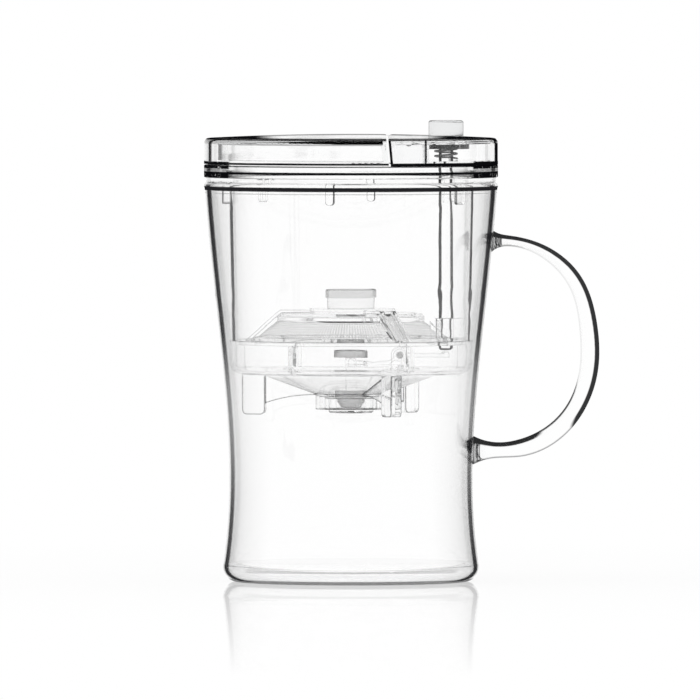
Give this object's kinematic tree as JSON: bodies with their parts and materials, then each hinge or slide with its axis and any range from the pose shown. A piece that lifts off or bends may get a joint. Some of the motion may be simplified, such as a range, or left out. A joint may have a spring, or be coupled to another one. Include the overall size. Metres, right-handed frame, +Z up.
{
  "type": "lidded infuser mug",
  "caption": "Waisted glass mug with a rod handle, a hanging brew infuser with a filter and drop valve, a flip lid, and a push button that opens the valve.",
  "frame": {"origin": "centre of the mug's resting face", "axes": "+Z up along the mug's axis, +X towards the handle and the push button; the lid's hinge and the lever turn about Y"},
  "size_m": [0.1186, 0.0882, 0.1384],
  "materials": {
    "glass": "clear polished",
    "clear_plastic": "clear polished",
    "silicone": "translucent satin",
    "steel": "bright",
    "mesh": "fine woven mesh"
  },
  "bodies": {
    "mug": {"mug_body": "glass", "mug_handle": "glass"},
    "infuser": {"brewing_liner": "clear_plastic", "collar_ring": "clear_plastic", "button_housing": "clear_plastic", "hinge_pin": "steel", "housing_floor": "clear_plastic", "rod_guide": "clear_plastic", "base_cup": "clear_plastic", "outlet_ring": "clear_plastic", "lever_pin": "steel", "button_spring": "steel"},
    "lid": {"lid_shell": "clear_plastic", "lid_skirt": "clear_plastic", "lid_gasket": "silicone"},
    "button": {"button_cap": "clear_plastic", "push_rod": "clear_plastic"},
    "lever": {"valve_lever": "clear_plastic"},
    "valve": {"valve_plug": "silicone", "valve_stem": "clear_plastic", "valve_head": "clear_plastic"},
    "filter": {"filter_frame": "clear_plastic", "filter_mesh": "mesh", "filter_knob": "clear_plastic"}
  },
  "joints": [
    {"name": "infuser_lift", "type": "slide", "parent": "mug", "child": "infuser", "axis": [0, 0, 1], "range_m": [0, 0.08]},
    {"name": "lid_hinge", "type": "hinge", "parent": "infuser", "child": "lid", "pos_m": [0.0171, 0, 0.1319], "axis": [0, 1, 0], "range_deg": [0, 95]},
    {"name": "button_press", "type": "slide", "parent": "infuser", "child": "button", "axis": [0, 0, -1], "range_m": [0, 0.003], "stiffness_N_per_m": 500, "springref_m": -0.004, "deforming": ["button_spring"]},
    {"name": "lever_tilt", "type": "hinge", "parent": "infuser", "child": "lever", "pos_m": [0.0145, 0, 0.068], "axis": [0, 1, 0], "range_deg": [0, 12.5]},
    {"name": "valve_lift", "type": "slide", "parent": "infuser", "child": "valve", "axis": [0, 0, 1], "range_m": [0, 0.0032]},
    {"name": "filter_lift", "type": "slide", "parent": "infuser", "child": "filter", "axis": [0, 0, 1], "range_m": [0, 0.03]}
  ],
  "couplings": [
    {"joint": "lever_tilt", "follows": "button_press", "rad_per_m": 71.99},
    {"joint": "valve_lift", "follows": "button_press", "ratio": 1.0357}
  ]
}
